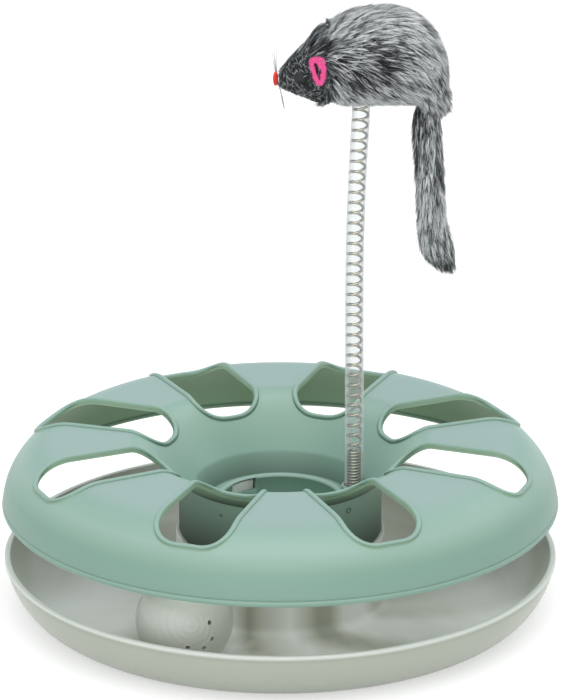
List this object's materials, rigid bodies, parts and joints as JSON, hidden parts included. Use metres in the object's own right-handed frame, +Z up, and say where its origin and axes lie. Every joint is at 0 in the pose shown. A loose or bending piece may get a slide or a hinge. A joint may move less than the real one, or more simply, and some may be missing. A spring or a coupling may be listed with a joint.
{
  "type": "cat carousel toy",
  "caption": "Round cat toy: dished tray, windowed ring cover, rolling bell ball in the track and a plush mouse on a coil spring.",
  "frame": {"origin": "on the floor, under the centre of the round tray", "axes": "+Z up; +X from the tray's centre towards the foot of the spring, so the mouse's rump is on the +X side and its nose over the centre; -Y faces the viewer"},
  "size_m": [0.2392, 0.2392, 0.2653],
  "materials": {
    "tray_plastic": "satin moulded plastic, light warm grey",
    "cover_plastic": "satin moulded plastic, sage green",
    "cap_plastic": "satin moulded plastic",
    "spring_steel": "bright drawn spring wire",
    "clear_plastic": "clear, slightly hazy tube",
    "body_fur": "long black, grey and silver pile",
    "head_fur": "short curly near-black pile",
    "ear_felt": "pink felt",
    "nose_felt": "red, slightly rubbery",
    "eye_black": "black",
    "whisker_nylon": "white nylon strands",
    "ball_plastic": "pale grey with faint swirls",
    "bell_steel": "plated steel"
  },
  "bodies": {
    "base": {"tray": "tray_plastic", "cover": "cover_plastic", "spring_foot": "cap_plastic"},
    "spring": {"spring": "spring_steel", "spring_sleeve": "clear_plastic"},
    "mouse": {"mouse_cap": "cap_plastic", "mouse_body": "body_fur", "mouse_head": "head_fur", "ear_right": "ear_felt", "ear_left": "ear_felt", "eye_right": "eye_black", "eye_left": "eye_black", "nose": "nose_felt", "whiskers": "whisker_nylon"},
    "tail": {"mouse_tail": "body_fur"},
    "bell": {"bell_shell": "bell_steel", "bell_clapper": "bell_steel"},
    "ball": {"ball_front_half": "ball_plastic", "ball_back_half": "ball_plastic"}
  },
  "joints": [
    {"name": "spring_sway_side", "type": "hinge", "parent": "base", "child": "spring", "pos_m": [0.032, 0, 0.075], "axis": [0, 1, 0], "range_deg": [-35, 35], "stiffness_Nm_per_rad": 0.15, "deforming": ["spring", "spring_sleeve"]},
    {"name": "spring_sway_fore", "type": "hinge", "parent": "spring", "child": "mouse", "pos_m": [0.033, 0, 0.155], "axis": [1, 0, 0], "range_deg": [-35, 35], "stiffness_Nm_per_rad": 0.15, "deforming": ["spring", "spring_sleeve"]},
    {"name": "tail_swing", "type": "hinge", "parent": "mouse", "child": "tail", "pos_m": [0.063, 0, 0.2245], "axis": [0, 1, 0], "range_deg": [-60, 18]},
    {"name": "ball_orbit", "type": "hinge", "parent": "base", "child": "bell", "pos_m": [0, 0, 0.0229], "axis": [0, 0, 1], "continuous": true},
    {"name": "ball_roll", "type": "hinge", "parent": "bell", "child": "ball", "pos_m": [-0.04011, -0.07607, 0.0229], "axis": [-0.4664, -0.8846, 0], "continuous": true}
  ],
  "couplings": [
    {"joint": "ball_roll", "follows": "ball_orbit", "ratio": -4.2157}
  ]
}
